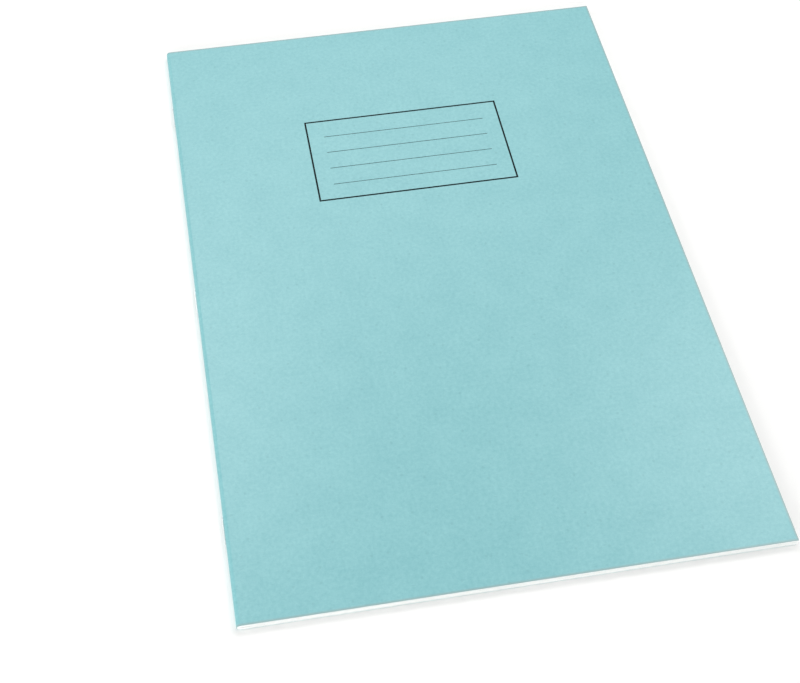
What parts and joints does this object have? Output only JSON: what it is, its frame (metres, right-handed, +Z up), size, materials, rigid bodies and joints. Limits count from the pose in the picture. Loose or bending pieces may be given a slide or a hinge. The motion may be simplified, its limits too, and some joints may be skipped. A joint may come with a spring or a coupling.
{
  "type": "stapled exercise book",
  "caption": "Closed A4 exercise book: nested folded paper sheets in a plain turquoise card cover, stapled through a rounded spine, with a cover and leaves that open about the fold.",
  "frame": {"origin": "centre of the closed book's box, on the underside of the back cover", "axes": "+X from the spine to the fore edge, +Y from the tail to the head along the spine, +Z up through the closed book from back cover to front cover"},
  "size_m": [0.2104, 0.297, 0.0038],
  "materials": {
    "cover_card": "matte, softly mottled",
    "page_paper": "matte",
    "staple_wire": "bright drawn wire"
  },
  "bodies": {
    "back_cover": {"back_cover": "cover_card"},
    "sheet_01_back": {"sheet_01_back_leaf": "page_paper"},
    "sheet_01_front": {"sheet_01_front_leaf": "page_paper"},
    "sheet_02_back": {"sheet_02_back_leaf": "page_paper"},
    "sheet_02_front": {"sheet_02_front_leaf": "page_paper"},
    "sheet_03_back": {"sheet_03_back_leaf": "page_paper"},
    "sheet_03_front": {"sheet_03_front_leaf": "page_paper"},
    "sheet_04_back": {"sheet_04_back_leaf": "page_paper"},
    "sheet_04_front": {"sheet_04_front_leaf": "page_paper"},
    "sheet_05_back": {"sheet_05_back_leaf": "page_paper"},
    "sheet_05_front": {"sheet_05_front_leaf": "page_paper"},
    "sheet_06_back": {"sheet_06_back_leaf": "page_paper"},
    "sheet_06_front": {"sheet_06_front_leaf": "page_paper"},
    "sheet_07_back": {"sheet_07_back_leaf": "page_paper"},
    "sheet_07_front": {"sheet_07_front_leaf": "page_paper"},
    "sheet_08_back": {"sheet_08_back_leaf": "page_paper"},
    "sheet_08_front": {"sheet_08_front_leaf": "page_paper"},
    "sheet_09_back": {"sheet_09_back_leaf": "page_paper"},
    "sheet_09_front": {"sheet_09_front_leaf": "page_paper"},
    "sheet_10_back": {"sheet_10_back_leaf": "page_paper"},
    "sheet_10_front": {"sheet_10_front_leaf": "page_paper"},
    "sheet_11_back": {"sheet_11_back_leaf": "page_paper"},
    "sheet_11_front": {"sheet_11_front_leaf": "page_paper"},
    "sheet_12_back": {"sheet_12_back_leaf": "page_paper"},
    "sheet_12_front": {"sheet_12_front_leaf": "page_paper"},
    "sheet_13_back": {"sheet_13_back_leaf": "page_paper"},
    "sheet_13_front": {"sheet_13_front_leaf": "page_paper"},
    "sheet_14_back": {"sheet_14_back_leaf": "page_paper"},
    "sheet_14_front": {"sheet_14_front_leaf": "page_paper"},
    "sheet_15_back": {"sheet_15_back_leaf": "page_paper"},
    "sheet_15_front": {"sheet_15_front_leaf": "page_paper"},
    "sheet_16_back": {"sheet_16_back_leaf": "page_paper"},
    "sheet_16_front": {"sheet_16_front_leaf": "page_paper"},
    "front_cover": {"front_cover": "cover_card"},
    "spine": {"cover_spine": "cover_card", "sheet_01_fold": "page_paper", "sheet_02_fold": "page_paper", "sheet_03_fold": "page_paper", "sheet_04_fold": "page_paper", "sheet_05_fold": "page_paper", "sheet_06_fold": "page_paper", "sheet_07_fold": "page_paper", "sheet_08_fold": "page_paper", "sheet_09_fold": "page_paper", "sheet_10_fold": "page_paper", "sheet_11_fold": "page_paper", "sheet_12_fold": "page_paper", "sheet_13_fold": "page_paper", "sheet_14_fold": "page_paper", "sheet_15_fold": "page_paper", "sheet_16_fold": "page_paper", "head_staple": "staple_wire", "middle_staple": "staple_wire", "tail_staple": "staple_wire"}
  },
  "joints": [
    {"name": "sheet_01_back_leaf_lift", "type": "hinge", "parent": "back_cover", "child": "sheet_01_back", "pos_m": [-0.10292, 0, 0.00188], "axis": [0, -1, 0], "range_deg": [0, 0.76]},
    {"name": "book_opening", "type": "hinge", "parent": "sheet_01_back", "child": "sheet_01_front", "pos_m": [-0.10292, 0, 0.00188], "axis": [0, -1, 0], "range_deg": [0, 179.25], "deforming": ["cover_spine", "sheet_01_fold", "sheet_02_fold", "sheet_03_fold", "sheet_04_fold", "sheet_05_fold", "sheet_06_fold", "sheet_07_fold", "sheet_08_fold", "sheet_09_fold", "sheet_10_fold", "sheet_11_fold", "sheet_12_fold", "sheet_13_fold", "sheet_14_fold", "sheet_15_fold", "sheet_16_fold"]},
    {"name": "sheet_02_back_leaf_lift", "type": "hinge", "parent": "back_cover", "child": "sheet_02_back", "pos_m": [-0.10292, 0, 0.00188], "axis": [0, -1, 0], "range_deg": [0, 1.51]},
    {"name": "sheet_02_front_leaf_turn", "type": "hinge", "parent": "sheet_02_back", "child": "sheet_02_front", "pos_m": [-0.10292, 0, 0.00188], "axis": [0, -1, 0], "range_deg": [0, 177.76]},
    {"name": "sheet_03_back_leaf_lift", "type": "hinge", "parent": "back_cover", "child": "sheet_03_back", "pos_m": [-0.10292, 0, 0.00188], "axis": [0, -1, 0], "range_deg": [0, 2.26]},
    {"name": "sheet_03_front_leaf_turn", "type": "hinge", "parent": "sheet_03_back", "child": "sheet_03_front", "pos_m": [-0.10292, 0, 0.00188], "axis": [0, -1, 0], "range_deg": [0, 176.26]},
    {"name": "sheet_04_back_leaf_lift", "type": "hinge", "parent": "back_cover", "child": "sheet_04_back", "pos_m": [-0.10292, 0, 0.00188], "axis": [0, -1, 0], "range_deg": [0, 3.01]},
    {"name": "sheet_04_front_leaf_turn", "type": "hinge", "parent": "sheet_04_back", "child": "sheet_04_front", "pos_m": [-0.10292, 0, 0.00188], "axis": [0, -1, 0], "range_deg": [0, 174.76]},
    {"name": "sheet_05_back_leaf_lift", "type": "hinge", "parent": "back_cover", "child": "sheet_05_back", "pos_m": [-0.10292, 0, 0.00188], "axis": [0, -1, 0], "range_deg": [0, 3.76]},
    {"name": "sheet_05_front_leaf_turn", "type": "hinge", "parent": "sheet_05_back", "child": "sheet_05_front", "pos_m": [-0.10292, 0, 0.00188], "axis": [0, -1, 0], "range_deg": [0, 173.26]},
    {"name": "sheet_06_back_leaf_lift", "type": "hinge", "parent": "back_cover", "child": "sheet_06_back", "pos_m": [-0.10292, 0, 0.00188], "axis": [0, -1, 0], "range_deg": [0, 4.51]},
    {"name": "sheet_06_front_leaf_turn", "type": "hinge", "parent": "sheet_06_back", "child": "sheet_06_front", "pos_m": [-0.10292, 0, 0.00188], "axis": [0, -1, 0], "range_deg": [0, 171.76]},
    {"name": "sheet_07_back_leaf_lift", "type": "hinge", "parent": "back_cover", "child": "sheet_07_back", "pos_m": [-0.10292, 0, 0.00188], "axis": [0, -1, 0], "range_deg": [0, 5.26]},
    {"name": "sheet_07_front_leaf_turn", "type": "hinge", "parent": "sheet_07_back", "child": "sheet_07_front", "pos_m": [-0.10292, 0, 0.00188], "axis": [0, -1, 0], "range_deg": [0, 170.26]},
    {"name": "sheet_08_back_leaf_lift", "type": "hinge", "parent": "back_cover", "child": "sheet_08_back", "pos_m": [-0.10292, 0, 0.00188], "axis": [0, -1, 0], "range_deg": [0, 6.01]},
    {"name": "sheet_08_front_leaf_turn", "type": "hinge", "parent": "sheet_08_back", "child": "sheet_08_front", "pos_m": [-0.10292, 0, 0.00188], "axis": [0, -1, 0], "range_deg": [0, 168.76]},
    {"name": "sheet_09_back_leaf_lift", "type": "hinge", "parent": "back_cover", "child": "sheet_09_back", "pos_m": [-0.10292, 0, 0.00188], "axis": [0, -1, 0], "range_deg": [0, 6.76]},
    {"name": "sheet_09_front_leaf_turn", "type": "hinge", "parent": "sheet_09_back", "child": "sheet_09_front", "pos_m": [-0.10292, 0, 0.00188], "axis": [0, -1, 0], "range_deg": [0, 167.26]},
    {"name": "sheet_10_back_leaf_lift", "type": "hinge", "parent": "back_cover", "child": "sheet_10_back", "pos_m": [-0.10292, 0, 0.00188], "axis": [0, -1, 0], "range_deg": [0, 7.51]},
    {"name": "sheet_10_front_leaf_turn", "type": "hinge", "parent": "sheet_10_back", "child": "sheet_10_front", "pos_m": [-0.10292, 0, 0.00188], "axis": [0, -1, 0], "range_deg": [0, 165.76]},
    {"name": "sheet_11_back_leaf_lift", "type": "hinge", "parent": "back_cover", "child": "sheet_11_back", "pos_m": [-0.10292, 0, 0.00188], "axis": [0, -1, 0], "range_deg": [0, 8.26]},
    {"name": "sheet_11_front_leaf_turn", "type": "hinge", "parent": "sheet_11_back", "child": "sheet_11_front", "pos_m": [-0.10292, 0, 0.00188], "axis": [0, -1, 0], "range_deg": [0, 164.26]},
    {"name": "sheet_12_back_leaf_lift", "type": "hinge", "parent": "back_cover", "child": "sheet_12_back", "pos_m": [-0.10292, 0, 0.00188], "axis": [0, -1, 0], "range_deg": [0, 9.01]},
    {"name": "sheet_12_front_leaf_turn", "type": "hinge", "parent": "sheet_12_back", "child": "sheet_12_front", "pos_m": [-0.10292, 0, 0.00188], "axis": [0, -1, 0], "range_deg": [0, 162.76]},
    {"name": "sheet_13_back_leaf_lift", "type": "hinge", "parent": "back_cover", "child": "sheet_13_back", "pos_m": [-0.10292, 0, 0.00188], "axis": [0, -1, 0], "range_deg": [0, 9.76]},
    {"name": "sheet_13_front_leaf_turn", "type": "hinge", "parent": "sheet_13_back", "child": "sheet_13_front", "pos_m": [-0.10292, 0, 0.00188], "axis": [0, -1, 0], "range_deg": [0, 161.26]},
    {"name": "sheet_14_back_leaf_lift", "type": "hinge", "parent": "back_cover", "child": "sheet_14_back", "pos_m": [-0.10292, 0, 0.00188], "axis": [0, -1, 0], "range_deg": [0, 10.51]},
    {"name": "sheet_14_front_leaf_turn", "type": "hinge", "parent": "sheet_14_back", "child": "sheet_14_front", "pos_m": [-0.10292, 0, 0.00188], "axis": [0, -1, 0], "range_deg": [0, 159.76]},
    {"name": "sheet_15_back_leaf_lift", "type": "hinge", "parent": "back_cover", "child": "sheet_15_back", "pos_m": [-0.10292, 0, 0.00188], "axis": [0, -1, 0], "range_deg": [0, 11.26]},
    {"name": "sheet_15_front_leaf_turn", "type": "hinge", "parent": "sheet_15_back", "child": "sheet_15_front", "pos_m": [-0.10292, 0, 0.00188], "axis": [0, -1, 0], "range_deg": [0, 158.26]},
    {"name": "sheet_16_back_leaf_lift", "type": "hinge", "parent": "back_cover", "child": "sheet_16_back", "pos_m": [-0.10292, 0, 0.00188], "axis": [0, -1, 0], "range_deg": [0, 12.01]},
    {"name": "sheet_16_front_leaf_turn", "type": "hinge", "parent": "sheet_16_back", "child": "sheet_16_front", "pos_m": [-0.10292, 0, 0.00188], "axis": [0, -1, 0], "range_deg": [0, 156.76]},
    {"name": "front_cover_opening", "type": "hinge", "parent": "sheet_01_front", "child": "front_cover", "pos_m": [-0.10292, 0, 0.00376], "axis": [0, -1, 0], "range_deg": [0, 179.5]},
    {"name": "spine_turn", "type": "hinge", "parent": "back_cover", "child": "spine", "pos_m": [-0.10292, 0, 0.00188], "axis": [0, -1, 0], "range_deg": [0, 90.01]}
  ],
  "couplings": [
    {"joint": "sheet_01_back_leaf_lift", "follows": "book_opening", "ratio": 0.004184},
    {"joint": "sheet_02_back_leaf_lift", "follows": "book_opening", "ratio": 0.008368},
    {"joint": "sheet_02_front_leaf_turn", "follows": "book_opening", "ratio": 0.99163},
    {"joint": "sheet_03_back_leaf_lift", "follows": "book_opening", "ratio": 0.012552},
    {"joint": "sheet_03_front_leaf_turn", "follows": "book_opening", "ratio": 0.98326},
    {"joint": "sheet_04_back_leaf_lift", "follows": "book_opening", "ratio": 0.016736},
    {"joint": "sheet_04_front_leaf_turn", "follows": "book_opening", "ratio": 0.97489},
    {"joint": "sheet_05_back_leaf_lift", "follows": "book_opening", "ratio": 0.020921},
    {"joint": "sheet_05_front_leaf_turn", "follows": "book_opening", "ratio": 0.96653},
    {"joint": "sheet_06_back_leaf_lift", "follows": "book_opening", "ratio": 0.025105},
    {"joint": "sheet_06_front_leaf_turn", "follows": "book_opening", "ratio": 0.95816},
    {"joint": "sheet_07_back_leaf_lift", "follows": "book_opening", "ratio": 0.029289},
    {"joint": "sheet_07_front_leaf_turn", "follows": "book_opening", "ratio": 0.94979},
    {"joint": "sheet_08_back_leaf_lift", "follows": "book_opening", "ratio": 0.033473},
    {"joint": "sheet_08_front_leaf_turn", "follows": "book_opening", "ratio": 0.94142},
    {"joint": "sheet_09_back_leaf_lift", "follows": "book_opening", "ratio": 0.037657},
    {"joint": "sheet_09_front_leaf_turn", "follows": "book_opening", "ratio": 0.93305},
    {"joint": "sheet_10_back_leaf_lift", "follows": "book_opening", "ratio": 0.041841},
    {"joint": "sheet_10_front_leaf_turn", "follows": "book_opening", "ratio": 0.92469},
    {"joint": "sheet_11_back_leaf_lift", "follows": "book_opening", "ratio": 0.046025},
    {"joint": "sheet_11_front_leaf_turn", "follows": "book_opening", "ratio": 0.91632},
    {"joint": "sheet_12_back_leaf_lift", "follows": "book_opening", "ratio": 0.050209},
    {"joint": "sheet_12_front_leaf_turn", "follows": "book_opening", "ratio": 0.90795},
    {"joint": "sheet_13_back_leaf_lift", "follows": "book_opening", "ratio": 0.054393},
    {"joint": "sheet_13_front_leaf_turn", "follows": "book_opening", "ratio": 0.89958},
    {"joint": "sheet_14_back_leaf_lift", "follows": "book_opening", "ratio": 0.058577},
    {"joint": "sheet_14_front_leaf_turn", "follows": "book_opening", "ratio": 0.89121},
    {"joint": "sheet_15_back_leaf_lift", "follows": "book_opening", "ratio": 0.062762},
    {"joint": "sheet_15_front_leaf_turn", "follows": "book_opening", "ratio": 0.88284},
    {"joint": "sheet_16_back_leaf_lift", "follows": "book_opening", "ratio": 0.066946},
    {"joint": "sheet_16_front_leaf_turn", "follows": "book_opening", "ratio": 0.87448},
    {"joint": "spine_turn", "follows": "book_opening", "ratio": 0.50209}
  ]
}
